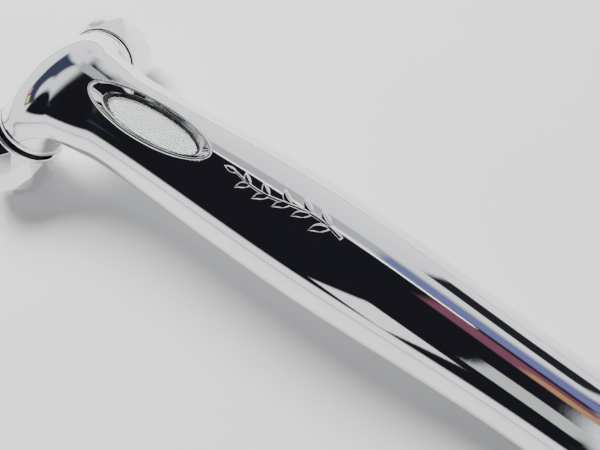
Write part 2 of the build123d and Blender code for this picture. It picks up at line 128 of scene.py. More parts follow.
def armCurve(hand, t):
    # cubic Bezier B(t) from inside the handle to the arm's end, and its derivative
    side = hands[hand]
    end = ballAt[hand] - axleAlong[hand] * armShape["end"]
    y, z = middleLine(np.array(rootAt))
    root = np.array([side * armShape["rootOffset"], float(y), float(z)])
    heading = np.array([0, math.cos(lean(rootAt)), math.sin(lean(rootAt))])
    points = [root, root + heading * armShape["rootPull"],
              end - axleAlong[hand] * armShape["endPull"], end]
    t = np.asarray(t, float)[:, None]
    weights = [(1 - t) ** 3, 3 * t * (1 - t) ** 2, 3 * t * t * (1 - t), t ** 3]
    spot = sum(w * p for w, p in zip(weights, points))
    slopes = [3 * (1 - t) ** 2, 6 * t * (1 - t), 3 * t * t]
    steps = [points[1] - points[0], points[2] - points[1], points[3] - points[2]]
    return spot, sum(w * p for w, p in zip(slopes, steps))


def smoothed(values, spacing, width):
    count = max(3, int(round(width / spacing)) | 1)
    kernel = np.hanning(count + 2)[1:-1]
    padded = np.concatenate([np.full(count // 2, values[0]), values, np.full(count // 2, values[-1])])
    return np.convolve(padded, kernel / kernel.sum(), mode="valid")


# one table for handle and hood: distance along the line, y, z, half sizes, dome coordinate
def spineTable():
    s = np.linspace(-106, rootAt, 1200, endpoint=False)
    y, z = middleLine(s)
    width = halfWidth(s)
    height = width * handleShape["flatness"]
    dome = np.clip((domeAt - s) / handleShape["tailDome"], 0, None)
    t = np.linspace(0, 1, 400)
    spot, slope = armCurve("right", t)
    ahead = slope[:, 1:] / np.linalg.norm(slope[:, 1:], axis=1)[:, None]
    share = np.clip(t / hoodShape["full"], 0, 1)
    lift = hoodShape["lift"] * ease(share)
    hoodY = spot[:, 1] - ahead[:, 1] * lift
    hoodZ = spot[:, 2] + ahead[:, 0] * lift
    neckHigh = handleShape["neckHalf"] * handleShape["flatness"]
    hoodWidth = handleShape["neckHalf"] + (hoodShape["halfWidth"] - handleShape["neckHalf"]) * share
    hoodHeight = neckHigh + (hoodShape["halfHeight"] - neckHigh) * share
    hoodDome = np.clip((t - hoodShape["full"]) / (hoodShape["end"] - hoodShape["full"]), 0, None)
    columns = [np.concatenate(pair) for pair in ((y, hoodY), (z, hoodZ), (width, hoodWidth),
                                                 (height, hoodHeight), (dome, hoodDome))]
    run = np.concatenate([[0], np.cumsum(np.hypot(np.diff(columns[0]), np.diff(columns[1])))])
    even = np.linspace(0, run[-1], 3000)
    spacing = even[1]
    y, z, width, height, dome = [np.interp(even, run, c) for c in columns]
    width = smoothed(width, spacing, 7)
    height = smoothed(height, spacing, 7)
    bend = np.unwrap(np.arctan2(np.gradient(z, spacing), np.gradient(y, spacing)))
    bend = smoothed(bend, spacing, 2)
    domeRate = smoothed(np.abs(np.gradient(dome, spacing)), spacing, 1)
    return {"run": even, "y": y, "z": z, "a": width, "b": height, "dome": dome, "bend": bend,
            "curl": np.gradient(bend, spacing), "domeRate": np.maximum(domeRate, 1e-4)}


spine = spineTable()


def spineAlong(p):
    # distance along the middle line of the nearest point, by a coarse search
    coarse = np.arange(0, len(spine["run"]), 12)
    best = np.full(len(p), 1e9)
    along = np.zeros(len(p))
    for k in coarse:
        d = (p[:, 1] - spine["y"][k]) ** 2 + (p[:, 2] - spine["z"][k]) ** 2
        near = d < best
        best[near] = d[near]
        along[near] = spine["run"][k]
    return along


def spineField(p, along):
    # q = |(x/a, h/b, dome)|; the distance to the ellipse is about q (q - 1) / |gradient of q|
    run = spine["run"]
    for _ in range(4):
        bend = np.interp(along, run, spine["bend"])
        dy = p[:, 1] - np.interp(along, run, spine["y"])
        dz = p[:, 2] - np.interp(along, run, spine["z"])
        ahead = dy * np.cos(bend) + dz * np.sin(bend)
        h = dz * np.cos(bend) - dy * np.sin(bend)
        curl = np.interp(along, run, spine["curl"])
        along = np.clip(along + ahead / np.clip(1 - curl * h, 0.3, 3), 0, run[-1])
    a = np.interp(along, run, spine["a"])
    b = np.interp(along, run, spine["b"])
    u = np.interp(along, run, spine["dome"])
    rate = np.interp(along, run, spine["domeRate"])
    q = np.sqrt((p[:, 0] / a) ** 2 + (h / b) ** 2 + u ** 2) + 1e-9
    slope = np.sqrt((p[:, 0] / a ** 2) ** 2 + (h / b ** 2) ** 2 + (u * rate) ** 2) + 1e-9
    return q * (q - 1) / slope


def armTable(hand):
    spot, _ = armCurve(hand, np.linspace(0, 1, 500))
    run = np.concatenate([[0], np.cumsum(np.linalg.norm(np.diff(spot, axis=0), axis=1))])
    even = np.linspace(0, run[-1], armShape["samples"])
    at = np.interp(even, run, np.linspace(0, 1, 500))
    spot, slope = armCurve(hand, at)
    ahead = slope / np.linalg.norm(slope, axis=1)[:, None]
    radius = armShape["rootRadius"] + (armShape["endRadius"] - armShape["rootRadius"]) * ease(at)
    return {"run": even, "spot": spot, "ahead": ahead, "radius": radius}


arms = {hand: armTable(hand) for hand in hands}


def armField(p, hand):
    # distance to the curved middle line less the radius, cut square at the arm's end
    arm = arms[hand]
    best = np.full(len(p), 1e9)
    along = np.zeros(len(p))
    for k in range(0, armShape["samples"], 20):
        d = ((p - arm["spot"][k]) ** 2).sum(1)
        near = d < best
        best[near] = d[near]
        along[near] = arm["run"][k]
    for _ in range(6):
        spot = np.stack([np.interp(along, arm["run"], arm["spot"][:, i]) for i in range(3)], 1)
        ahead = np.stack([np.interp(along, arm["run"], arm["ahead"][:, i]) for i in range(3)], 1)
        along = np.clip(along + ((p - spot) * ahead).sum(1) * 0.85, 0, arm["run"][-1])
    away = p - spot
    past = (away * ahead).sum(1)
    past = np.where(along >= arm["run"][-1] - 1e-6, np.maximum(past, 0), np.minimum(past, 0))
    side = np.linalg.norm(away - ahead * (away * ahead).sum(1)[:, None], axis=1)
    radius = np.interp(along, arm["run"], arm["radius"])
    back = np.where(past < 0, np.hypot(side, past), side) - radius
    flat = ((p - arm["spot"][-1]) * arm["ahead"][-1]).sum(1)
    inFront = flat > -12
    cut = -softMin(-back, -flat, armShape["edge"])
    return np.where(inFront & (past >= 0), cut, back)


def softMin(a, b, k):
    # min(a, b) less k/4 (1 - |a - b|/k)^2 where the two are closer than k
    h = np.clip(1 - np.abs(a - b) / np.maximum(k, 1e-6), 0, None)
    return np.minimum(a, b) - h * h * k / 4


def bodyField(p, along):
    k = armShape["fork"] * ease((p[:, 1] - windowY - armShape["forkFrom"]) / armShape["forkRun"])
    both = softMin(armField(p, "left"), armField(p, "right"), k)
    return softMin(spineField(p, along), both, k)


windowUp = np.array([0, -math.sin(handleShape["slope"]), math.cos(handleShape["slope"])])
windowAlong = np.array([0, math.cos(handleShape["slope"]), math.sin(handleShape["slope"])])
windowMiddle = np.array([0, windowY, lineHeight])
windowTop = float(halfWidth(np.array(0.0))) * handleShape["flatness"]


def skinField(p, along):
    # the body less the oval pocket under the window
    away = p - windowMiddle
    u = away[:, 0] / skinShape["pocketHalf"][0]
    v = (away @ windowAlong) / skinShape["pocketHalf"][1]
    oval = (np.sqrt(u * u + v * v) - 1) * skinShape["pocketHalf"][0]
    floor = windowTop - skinShape["pocketDepth"] - away @ windowUp
    pocket = -softMin(-oval, -floor, skinShape["pocketEdge"])
    return -softMin(-bodyField(p, along), pocket, skinShape["pocketEdge"])


def gradient(field, p, along, step=0.03):
    g = np.empty_like(p)
    for i in range(3):
        shift = np.zeros(3)
        shift[i] = step
        g[:, i] = (field(p + shift, along) - field(p - shift, along)) / (2 * step)
    return g


# Meshes from grids: rows of points, each row a closed ring.
def meshFromRows(name, rows, torus=False):
    rows = np.asarray(rows, float)
    count, around = rows.shape[:2]
    points = rows.reshape(-1, 3)
    index = np.arange(count * around).reshape(count, around)
    first, second = (index, np.roll(index, -1, axis=0)) if torus else (index[:-1], index[1:])
    quads = np.stack([first, np.roll(first, -1, 1), np.roll(second, -1, 1), second], -1).reshape(-1, 4)
    faces = quads.tolist()
    if not torus:
        points = np.concatenate([points, rows[:1].mean(1), rows[-1:].mean(1)])
        start, stop = len(points) - 2, len(points) - 1
        head, tail = index[0], index[-1]
        faces += np.stack([np.roll(head, -1), head, np.full(around, start)], -1).tolist()
        faces += np.stack([tail, np.roll(tail, -1), np.full(around, stop)], -1).tolist()
    mesh = bpy.data.meshes.new(name)
    mesh.from_pydata((points * mm).tolist(), [], faces)
    return mesh


def addPiece(name, mesh, body, nodes, slot):
    work = bmesh.new()
    work.from_mesh(mesh)
    bmesh.ops.recalc_face_normals(work, faces=work.faces)
    work.to_mesh(mesh)
    work.free()
    mesh.polygons.foreach_set("use_smooth", [True] * len(mesh.polygons))
    mesh.update()
    piece = bpy.data.objects.new(name, mesh)
    bpy.context.scene.collection.objects.link(piece)
    mesh.materials.append(materials[slot])
    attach(piece, body)
    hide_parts(*nodes)
    return piece


# Materials.
def variationGroup():
    # broad: soft cloudy mask, fine: small grain, both from 0 to 1
    group = bpy.data.node_groups.new("surfaceVariation", "ShaderNodeTree")
    group.interface.new_socket("Vector", in_out="INPUT", socket_type="NodeSocketVector")
    broadSocket = group.interface.new_socket("Broad Scale", in_out="INPUT",
                                             socket_type="NodeSocketFloat")
    fineSocket = group.interface.new_socket("Fine Scale", in_out="INPUT", socket_type="NodeSocketFloat")
    broadSocket.default_value = 60
    fineSocket.default_value = 2500
    group.interface.new_socket("Broad", in_out="OUTPUT", socket_type="NodeSocketFloat")
    group.interface.new_socket("Fine", in_out="OUTPUT", socket_type="NodeSocketFloat")
    nodes, links = group.nodes, group.links
    given = nodes.new("NodeGroupInput")
    result = nodes.new("NodeGroupOutput")
    for output, scaleName, detail in (("Broad", "Broad Scale", 3), ("Fine", "Fine Scale", 2)):
        noise = nodes.new("ShaderNodeTexNoise")
        noise.inputs["Detail"].default_value = detail
        stretch = nodes.new("ShaderNodeMapRange")
        stretch.interpolation_type = "SMOOTHSTEP"
        stretch.inputs["From Min"].default_value = 0.32
        stretch.inputs["From Max"].default_value = 0.68
        links.new(given.outputs["Vector"], noise.inputs["Vector"])
        links.new(given.outputs[scaleName], noise.inputs["Scale"])
        links.new(noise.outputs["Fac"], stretch.inputs["Value"])
        links.new(stretch.outputs["Result"], result.inputs[output])
    return group


# light and dark colour, metallic, lowest and highest roughness, broad and fine scale per metre, bump
finishKeys = ("light", "dark", "metal", "rough", "broad", "fine", "bump")
finishRows = {
    "polished_chrome": ((0.86, 0.87, 0.88), (0.8, 0.81, 0.83), 1, (0.018, 0.05),
                        45, 900, 0.006),
    "chrome_trim": ((0.87, 0.87, 0.88), (0.8, 0.8, 0.82), 1, (0.03, 0.07),
                    90, 1500, 0.01),
    "ball_chrome": ((0.87, 0.87, 0.88), (0.8, 0.81, 0.82), 1, (0.02, 0.06),
                    120, 1100, 0.008),
    "solar_silicon": ((0.045, 0.07, 0.075), (0.02, 0.03, 0.04), 0, (0.12, 0.2),
                      200, 3000, 0.02),
    "black_rubber": ((0.03, 0.03, 0.03), (0.015, 0.015, 0.016), 0, (0.55, 0.75),
                     200, 4000, 0.15),
    "dark_abs": ((0.08, 0.08, 0.09), (0.05, 0.05, 0.06), 0, (0.4, 0.55),
                 80, 3500, 0.12),
    "bearing_plastic": ((0.86, 0.85, 0.81), (0.78, 0.77, 0.72), 0, (0.3, 0.42),
                        90, 2000, 0.05),
    "cast_zinc": ((0.6, 0.61, 0.63), (0.42, 0.43, 0.46), 1, (0.35, 0.5),
                  150, 2500, 0.15),
    "turned_steel": ((0.66, 0.67, 0.68), (0.5, 0.51, 0.53), 1, (0.18, 0.3),
                     150, 4000, 0.06),
    "spring_bronze": ((0.7, 0.54, 0.28), (0.55, 0.4, 0.2), 1, (0.25, 0.38),
                      150, 2500, 0.05),
    "wire_red": ((0.58, 0.035, 0.03), (0.42, 0.02, 0.02), 0, (0.3, 0.4),
                 150, 2500, 0.03),
    "wire_black": ((0.03, 0.03, 0.03), (0.015, 0.015, 0.015), 0, (0.3, 0.4),
                   150, 2500, 0.03),
    "clear_lens": ((0.95, 0.98, 0.97), (0.9, 0.95, 0.94), 0, (0.0, 0.02),
                   100, 900, 0.003),
    "table": ((0.86, 0.865, 0.87), (0.83, 0.835, 0.845), 0, (0.45, 0.6),
              8, 900, 0.03),
}
finishes = {name: dict(zip(finishKeys, row)) for name, row in finishRows.items()}
variation = variationGroup()


def makeMaterial(name, finish):
    material = bpy.data.materials.new(name)
    material.use_nodes = True
    nodes, links = material.node_tree.nodes, material.node_tree.links
    shader = nodes["Principled BSDF"]
    where = nodes.new("ShaderNodeTexCoord")
    vary = nodes.new("ShaderNodeGroup")
    vary.node_tree = variation
    vary.inputs["Broad Scale"].default_value = finish["broad"]
    vary.inputs["Fine Scale"].default_value = finish["fine"]
    links.new(where.outputs["Object"], vary.inputs["Vector"])
    tint = nodes.new("ShaderNodeMix")
    tint.data_type = "RGBA"
    tint.inputs["A"].default_value = (*finish["light"], 1)
    tint.inputs["B"].default_value = (*finish["dark"], 1)
    links.new(vary.outputs["Broad"], tint.inputs["Factor"])
    rough = nodes.new("ShaderNodeMapRange")
    rough.inputs["To Min"].default_value = finish["rough"][0]
    rough.inputs["To Max"].default_value = finish["rough"][1]
    links.new(vary.outputs["Broad"], rough.inputs["Value"])
    bump = nodes.new("ShaderNodeBump")
    bump.inputs["Strength"].default_value = finish["bump"]
    bump.inputs["Distance"].default_value = 0.0001
    links.new(vary.outputs["Fine"], bump.inputs["Height"])
    links.new(tint.outputs["Result"], shader.inputs["Base Color"])
    links.new(rough.outputs["Result"], shader.inputs["Roughness"])
    links.new(bump.outputs["Normal"], shader.inputs["Normal"])
    shader.inputs["Metallic"].default_value = finish["metal"]
    return material, shader, tint, rough, where


def lineMask(nodes, links, value, low, high):
    # 1 where |value| is under low, 0 above high
    size = nodes.new("ShaderNodeMath")
    size.operation = "ABSOLUTE"
    links.new(value, size.inputs[0])
    mask = nodes.new("ShaderNodeMapRange")
    mask.interpolation_type = "SMOOTHSTEP"
    mask.inputs["From Min"].default_value = low
    mask.inputs["From Max"].default_value = high
    mask.inputs["To Min"].default_value = 1
    mask.inputs["To Max"].default_value = 0
    links.new(size.outputs[0], mask.inputs["Value"])
    return mask.outputs["Result"]


materials = {}
for slotName, finish in finishes.items():
    material, shader, tint, rough, where = makeMaterial(slotName, finish)
    nodes, links = material.node_tree.nodes, material.node_tree.links
    if slotName == "polished_chrome":
        # fine dark line where the two shells meet
        seam = nodes.new("ShaderNodeAttribute")
        seam.attribute_name = "seamDistance"
        mask = lineMask(nodes, links, seam.outputs["Fac"], 0.02, 0.09)
        dark = nodes.new("ShaderNodeMix")
        dark.data_type = "RGBA"
        dark.inputs["B"].default_value = (0.12, 0.12, 0.13, 1)
        links.new(mask, dark.inputs["Factor"])
        links.new(tint.outputs["Result"], dark.inputs["A"])
        links.new(dark.outputs["Result"], shader.inputs["Base Color"])
    if slotName == "solar_silicon":
        # painted reflection: pale greenish stripes of a striped ceiling light, painted on the cell colour along
        # the cell, y
        split = nodes.new("ShaderNodeSeparateXYZ")
        links.new(where.outputs["Object"], split.inputs["Vector"])
        scaled = nodes.new("ShaderNodeMath")
        scaled.operation = "MULTIPLY"
        scaled.inputs[1].default_value = 1 / 0.0005
        links.new(split.outputs["X"], scaled.inputs[0])
        saw = nodes.new("ShaderNodeMath")
        saw.operation = "PINGPONG"
        saw.inputs[1].default_value = 0.5
        links.new(scaled.outputs[0], saw.inputs[0])
        mask = lineMask(nodes, links, saw.outputs[0], 0.08, 0.18)
        # painted reflection: pale stripes mixed over the cell's own dark colour
        paintedReflectionStripes = nodes.new("ShaderNodeMix")
        paintedReflectionStripes.data_type = "RGBA"
        paintedReflectionStripes.inputs["B"].default_value = (0.66, 0.76, 0.68, 1)
        links.new(mask, paintedReflectionStripes.inputs["Factor"])
        links.new(tint.outputs["Result"], paintedReflectionStripes.inputs["A"])
        links.new(paintedReflectionStripes.outputs["Result"], shader.inputs["Base Color"])
    if slotName == "clear_lens":
        shader.inputs["Transmission Weight"].default_value = 1
        shader.inputs["IOR"].default_value = 1.49
    materials[slotName] = material
print("materials", len(materials))

for subpart in frame["record"]["subparts"]:
    node = frame["nodes"][subpart["node"]]
    node.data.materials.clear()
    node.data.materials.append(materials[subpart["material_slot"]])


# Smooth skin: handle, hood and both arms as one closed surface.
def ringAround(middle, across, up, halfAcross, halfUp, count):
    # middle + across a cos(w) + up b sin(w)
    w = np.linspace(0, 2 * np.pi, count, endpoint=False)[None, :, None]
    return (middle[:, None] + across[:, None] * halfAcross[:, None, None] * np.cos(w)
            + up[:, None] * halfUp[:, None, None] * np.sin(w))


def spineRows():
    run = spine["run"]
    shown = spine["dome"] < 0.995
    first, last = run[shown][0], run[shown][-1]
    turn = np.linspace(0, 1, 240)
    at = first + (last - first) * (turn + ease(turn)) / 2
    bend = np.interp(at, run, spine["bend"])
    k = np.sqrt(np.clip(1 - np.interp(at, run, spine["dome"]) ** 2, 0.001, 1))
    zero = np.zeros_like(at)
    middle = np.stack([zero, np.interp(at, run, spine["y"]), np.interp(at, run, spine["z"])], 1)
    across = np.stack([zero + 1, zero, zero], 1)
    up = np.stack([zero, -np.sin(bend), np.cos(bend)], 1)
    return ringAround(middle, across, up, np.interp(at, run, spine["a"]) * k,
                      np.interp(at, run, spine["b"]) * k, 96)


def armRows(hand):
    arm = arms[hand]
    pick = np.linspace(0, armShape["samples"] - 1, 60).astype(int)
    ahead = arm["ahead"][pick]
    across = np.cross(ahead, windowUp)
    across /= np.linalg.norm(across, axis=1)[:, None]
    up = np.cross(across, ahead)
    radius = arm["radius"][pick]
    return ringAround(arm["spot"][pick], across, up, radius, radius, 72)


def joined(name, meshes):
    work = bmesh.new()
    for mesh in meshes:
        work.from_mesh(mesh)
    bmesh.ops.recalc_face_normals(work, faces=work.faces)
    result = bpy.data.meshes.new(name)
    work.to_mesh(result)
    work.free()
    return result


def evaluated(obj):
    return bpy.data.meshes.new_from_object(obj.evaluated_get(bpy.context.evaluated_depsgraph_get()))


def pocketRows():
    # oval prism, from below the cell to above the skin
    half = np.array(skinShape["pocketHalf"])
    low, high = windowTop - skinShape["pocketDepth"], windowTop + 3
    levels = np.linspace(low, high, 8)
    w = np.linspace(0, 2 * np.pi, 160, endpoint=False)
    flat = (half[0] * np.cos(w)[:, None] * np.array([1, 0, 0])
            + half[1] * np.sin(w)[:, None] * windowAlong)
    return windowMiddle + flat[None] + levels[:, None, None] * windowUp


def buildSkin():
    rough = joined("skinStart", [meshFromRows("spine", spineRows())]
                   + [meshFromRows(hand, armRows(hand)) for hand in hands])
    start = bpy.data.objects.new("skinStart", rough)
    cutMesh = joined("skinCut", [meshFromRows("pocket", pocketRows())])
    cutter = bpy.data.objects.new("skinCut", cutMesh)
    for obj in (start, cutter):
        bpy.context.scene.collection.objects.link(obj)
    remesh = start.modifiers.new("solid", "REMESH")
    remesh.mode = "VOXEL"
    remesh.voxel_size = skinShape["voxel"] * mm
    cut = start.modifiers.new("pocket", "BOOLEAN")
    cut.object = cutter
    cut.operation = "DIFFERENCE"
    cut.solver = "EXACT"
    again = start.modifiers.new("even", "REMESH")
    again.mode = "VOXEL"
    again.voxel_size = skinShape["voxel"] * mm
    mesh = evaluated(start)
    for obj in (start, cutter):
        bpy.data.objects.remove(obj)
    count = len(mesh.vertices)
    flat = np.empty(count * 3, np.float64)
    mesh.vertices.foreach_get("co", flat)
    p = flat.reshape(-1, 3) / mm
    along = spineAlong(p)
    for _ in range(5):
        f = skinField(p, along)
        g = gradient(skinField, p, along)
        move = f[:, None] * g / np.maximum((g * g).sum(1), 0.2)[:, None]
        length = np.linalg.norm(move, axis=1)
        p = p - move * np.minimum(1, 0.3 / np.maximum(length, 1e-9))[:, None]
    left = np.abs(skinField(p, along))
    print("skin", count, "points, furthest from the formula", round(float(left.max()), 3),
          "mean", round(float(left.mean()), 5))
    g = gradient(skinField, p, along)
    g /= np.linalg.norm(g, axis=1)[:, None] + 1e-12
    mesh.vertices.foreach_set("co", (p * mm).ravel())
    # height above the parting line, which runs under the middle line
    run = spine["run"]
    bend = np.interp(along, run, spine["bend"])
    dy = p[:, 1] - np.interp(along, run, spine["y"])
    dz = p[:, 2] - np.interp(along, run, spine["z"])
    low = dz * np.cos(bend) - dy * np.sin(bend)
    seam = mesh.attributes.new("seamDistance", "FLOAT", "POINT")
    seam.data.foreach_set("value", (low + handleShape["partingDrop"]).astype(np.float32))
    mesh.name = "handle_skin"
    shells = ["handle_upper_shell", "handle_lower_shell"]
    piece = addPiece("handle_skin", mesh, "handle", shells, "polished_chrome")
    piece.data.normals_split_custom_set_from_vertices(g.tolist())


buildSkin()


# Window: rim, dish and lens.
def ontoBody(p, direction, proud):
    # slides points along direction until they stand that far out of the handle
    p = p.copy()
    along = spineAlong(p)
    for _ in range(6):
        f = spineField(p, along) - proud
        ahead, behind = (spineField(p + direction * way, along) for way in (0.02, -0.02))
        slope = (ahead - behind) / 0.04
        p -= (f / np.clip(slope, 0.3, None))[:, None] * direction
    return p


def ovalPoints(half, height, count):
    w = np.linspace(0, 2 * np.pi, count, endpoint=False)[:, None]
    across = half[0] * np.cos(w) * np.array([1, 0, 0])
    return windowMiddle + across + half[1] * np.sin(w) * windowAlong + height * windowUp


def bezelRows():
    b = bezelShape
    count = b["around"]
    lensTop = windowTop - b["dish"]
    lensFloor = lensTop - b["lensThick"]
    rows = [ovalPoints(b["half"], h, count) for h in (lensFloor, lensTop)]
    # the rim is a half round that follows the skin: offset in from the edge, and height
    for step in np.linspace(0, 1, 15):
        inset = b["rim"] * (1 - math.cos(math.pi * step)) / 2
        high = -0.12 + (b["proud"] + 0.12) * math.sin(math.pi * step) ** 0.7
        half = (b["half"][0] - inset, b["half"][1] - inset)
        guess = ovalPoints(half, windowTop, count)
        rows.append(ontoBody(guess, windowUp, high))
    inner = rows[-1]
    floorHalf = (b["lensHalf"][0] + b["ledge"], b["lensHalf"][1] + b["ledge"])
    bottom = ovalPoints(floorHalf, lensTop, count)
    for step in np.linspace(0, 1, 9)[1:]:
        rows.append(inner + (bottom - inner) * step)
    rows.append(ovalPoints((b["lensHalf"][0] + 0.05, b["lensHalf"][1] + 0.05), lensTop - 0.02, count))
    rows.append(ovalPoints(b["lensHalf"], lensTop - 0.1, count))
    rows.append(ovalPoints(b["lensHalf"], lensFloor, count))
    return np.array(rows)


def lensRows():
    b = bezelShape
    count = b["around"]
    half = (b["lensHalf"][0] - 0.02, b["lensHalf"][1] - 0.02)
    top = windowTop - b["dish"]
    rows = [ovalPoints((half[0] * k, half[1] * k), top - b["lensThick"], count)
            for k in (0.02, 0.5, 0.97, 1.0)]
    for angle in np.radians((0, 15, 30, 45, 60, 75, 90)):
        inset = 0.35 * (1 - math.cos(angle))
        high = top - 0.35 + 0.35 * math.sin(angle)
        rows.append(ovalPoints((half[0] - inset, half[1] - inset), high, count))
    rows += [ovalPoints((half[0] * k, half[1] * k), top, count) for k in (0.8, 0.5, 0.2, 0.02)]
    return np.array(rows)


rim = meshFromRows("window_rim", bezelRows(), torus=True)
addPiece("window_rim", rim, "handle", ["window_bezel"], "chrome_trim")
glass = meshFromRows("window_glass", lensRows())
addPiece("window_glass", glass, "handle", ["window_lens"], "clear_lens")
print("window done")


# Raised sprig on the grip: a stem and pairs of leaves that follow the skin.
def sprigStrip(points, half, steps=28, ring=16):
    # points: function of u giving (x, s); half: function of u giving the half width
    u = np.linspace(0, 1, steps)
    xs = points(u)
    slope = np.gradient(xs, axis=0)
    slope /= np.linalg.norm(slope, axis=1)[:, None]
    normal = np.stack([-slope[:, 1], slope[:, 0]], 1)
    wide = half(u)
    w = np.linspace(0, 2 * np.pi, ring, endpoint=False)
    spread = xs[:, None] + normal[:, None] * (wide[:, None] * np.cos(w))[..., None]
    rise = np.where(np.sin(w) > 0, np.abs(np.sin(w)) ** 0.6, -0.5 * np.abs(np.sin(w)))
    share = np.clip(wide / wide.max() * 1.6, 0.15, 1)
    high = sprigShape["proud"] * share[:, None] * rise[None]
    x, s = spread[..., 0].ravel(), spread[..., 1].ravel() + sprigShape["at"]
    y, z = middleLine(s)
    up = np.stack([np.zeros_like(s), -np.sin(lean(s)), np.cos(lean(s))], 1)
    guess = np.stack([x, y, z], 1) + up * (halfWidth(s) * handleShape["flatness"])[:, None]
    along = spineAlong(guess)
    for _ in range(6):
        f = spineField(guess, along) - high.ravel()
        slopeUp = (spineField(guess + up * 0.02, along) - spineField(guess - up * 0.02, along)) / 0.04
        guess = guess - up * (f / np.clip(slopeUp, 0.3, None))[:, None]
    return guess.reshape(steps, ring, 3)


def sprigStem(u):
    # the stem sways: x = -sway sin(2 pi u), s from -half to half
    return np.stack([sprigShape["sway"] * np.sin(2 * np.pi * u), (2 * u - 1) * sprigShape["half"]], 1)


def buildSprig():
    g = sprigShape
    stem = sprigStrip(sprigStem, lambda u: g["stemHalf"] * (1.15 - 0.5 * u), steps=60)
    meshes = [meshFromRows("stem", stem)]
    leaves = []
    for i in range(g["pairs"]):
        share = (i + 0.6) / (g["pairs"] + 0.6)
        for turn in (-g["angle"], g["angle"]):
            leaves.append((share, 1 - 0.35 * share, turn, 1.0))
    leaves.append((0.98, 0.7, 0.0, 0.9))
    for share, size, turn, full in leaves:
        foot = sprigStem(np.array([share]))[0]
        ahead = np.array([-math.sin(turn), math.cos(turn)])
        side = np.array([math.cos(turn), math.sin(turn)])
        length = g["leaf"] * size
        bow = 0.3 * np.sign(turn)

        def points(u, foot=foot, ahead=ahead, side=side, length=length, bow=bow):
            return foot + np.outer(u, ahead) * length + np.outer(np.sin(np.pi * u) * bow, side)

        def half(u, size=size, full=full):
            bulge = np.sin(np.pi * np.clip(u, 0.01, 0.99) ** 0.85)
            return g["leafHalf"] * size * full * np.clip(bulge, 0.02, 1)

        meshes.append(meshFromRows("leaf", sprigStrip(points, half)))
    return joined("grip_sprig", meshes)


addPiece("grip_sprig", buildSprig(), "handle", ["grip_ornament"], "chrome_trim")
print("sprig done")


# Rings and faceted balls on each axle.
def axleBasis(hand):
    along = axleAlong[hand]
    down = np.array([0, 0, -1.0])
    downhill = down - along * (down @ along)
    downhill /= np.linalg.norm(downhill)
    return downhill, np.cross(along, downhill), along


def ringRows(hand, shape, count=144):
    # profile of (radius, distance along the axle) with rounded outer edges, turned about the axle
    e, outer, inner, start, end = (shape[k] for k in ("edge", "outer", "inner", "start", "end"))
    profile = [(inner, start), ((inner + outer) / 2, start), (outer - e - 0.1, start)]
    quarter = np.linspace(0, math.pi / 2, 8)
    profile += [(outer - e + e * math.sin(a), start + e - e * math.cos(a)) for a in quarter]
    profile += [(outer - e + e * math.cos(a), end - e + e * math.sin(a)) for a in quarter]
    profile += [(outer - e - 0.1, end), ((inner + outer) / 2, end), (inner, end),
                (inner, (start + end) / 2)]
    x, y, along = axleBasis(hand)
    w = np.linspace(0, 2 * np.pi, count, endpoint=False)
    turn = np.cos(w)[:, None] * x + np.sin(w)[:, None] * y
    return np.array([ballAt[hand] + turn * r + along * w0 for r, w0 in profile])


def gemMesh(hand):
    b = ballShape
    x, y, along = axleBasis(hand)
    count = b["round"]
    halfStep = math.pi / count
    restAngle = math.pi - math.acos(-along[2])
    lower = math.radians(b["rings"][2])
    restCosine = (math.cos(lower) * math.cos(restAngle)
                  + math.sin(lower) * math.sin(restAngle) * math.cos(halfStep))
    fourth = restAngle + math.acos(restCosine)
    rings = [(b["crownRadius"], -b["crownHeight"], 0.0)]
    for i, degrees in enumerate(b["rings"]):
        angle = fourth if degrees is None else math.radians(degrees)
        rings.append((b["radius"] * math.sin(angle), -b["radius"] * math.cos(angle),
                      halfStep * ((i + 1) % 2)))
    rows = []
    for radius, high, turn in rings:
        w = turn + np.arange(count) * 2 * np.pi / count
        turned = np.cos(w)[:, None] * x + np.sin(w)[:, None] * y
        rows.append(ballAt[hand] + turned * radius + along * high)
    points = np.concatenate(rows)
    work = bmesh.new()
    corners = [work.verts.new(p) for p in (points * mm).tolist()]
    bmesh.ops.convex_hull(work, input=corners)
    flat = [e for e in work.edges if e.is_manifold and e.calc_face_angle() < 0.01]
    bmesh.ops.dissolve_edges(work, edges=flat, use_verts=False)
    mesh = bpy.data.meshes.new(hand + "_faceted_ball")
    work.to_mesh(mesh)
    work.free()
    return mesh


for hand in hands:
    collar = meshFromRows(hand + "_collar", ringRows(hand, collarShape), torus=True)
    addPiece(hand + "_collar", collar, "handle", [hand + "_collar_ring"], "chrome_trim")
    flange = meshFromRows(hand + "_flange", ringRows(hand, flangeShape), torus=True)
    addPiece(hand + "_flange", flange, hand + "_ball", [hand + "_ball_flange"], "chrome_trim")
    gem = addPiece(hand + "_faceted_ball", gemMesh(hand), hand + "_ball",
                   [hand + "_ball_shell"], "ball_chrome")
    bevel = gem.modifiers.new("edges", "BEVEL")
    bevel.width = ballShape["bevel"] * mm
    bevel.segments = 3
    bevel.limit_method = "ANGLE"
    bevel.angle_limit = math.radians(4)
    bevel.harden_normals = True
print("balls done")

# Table, surroundings, light and camera.
floorMesh = bpy.data.meshes.new("table")
reach = 4.0
corners = [(-reach, -reach, 0), (reach, -reach, 0), (reach, reach, 0), (-reach, reach, 0)]
floorMesh.from_pydata(corners, [], [(0, 1, 2, 3)])
floorMesh.materials.append(materials["table"])
floor = bpy.data.objects.new("table", floorMesh)
bpy.context.scene.collection.objects.link(floor)

studio = bpy.data.worlds.new("studio")
bpy.context.scene.world = studio
studio.use_nodes = True
nodes, links = studio.node_tree.nodes, studio.node_tree.links
background = nodes["Background"]
sky = nodes.new("ShaderNodeTexCoord")
direction = sky.outputs["Generated"]


def dotWith(vector):
    dot = nodes.new("ShaderNodeVectorMath")
    dot.operation = "DOT_PRODUCT"
    dot.inputs[1].default_value = tuple(vector)
    links.new(direction, dot.inputs[0])
    return dot.outputs["Value"]


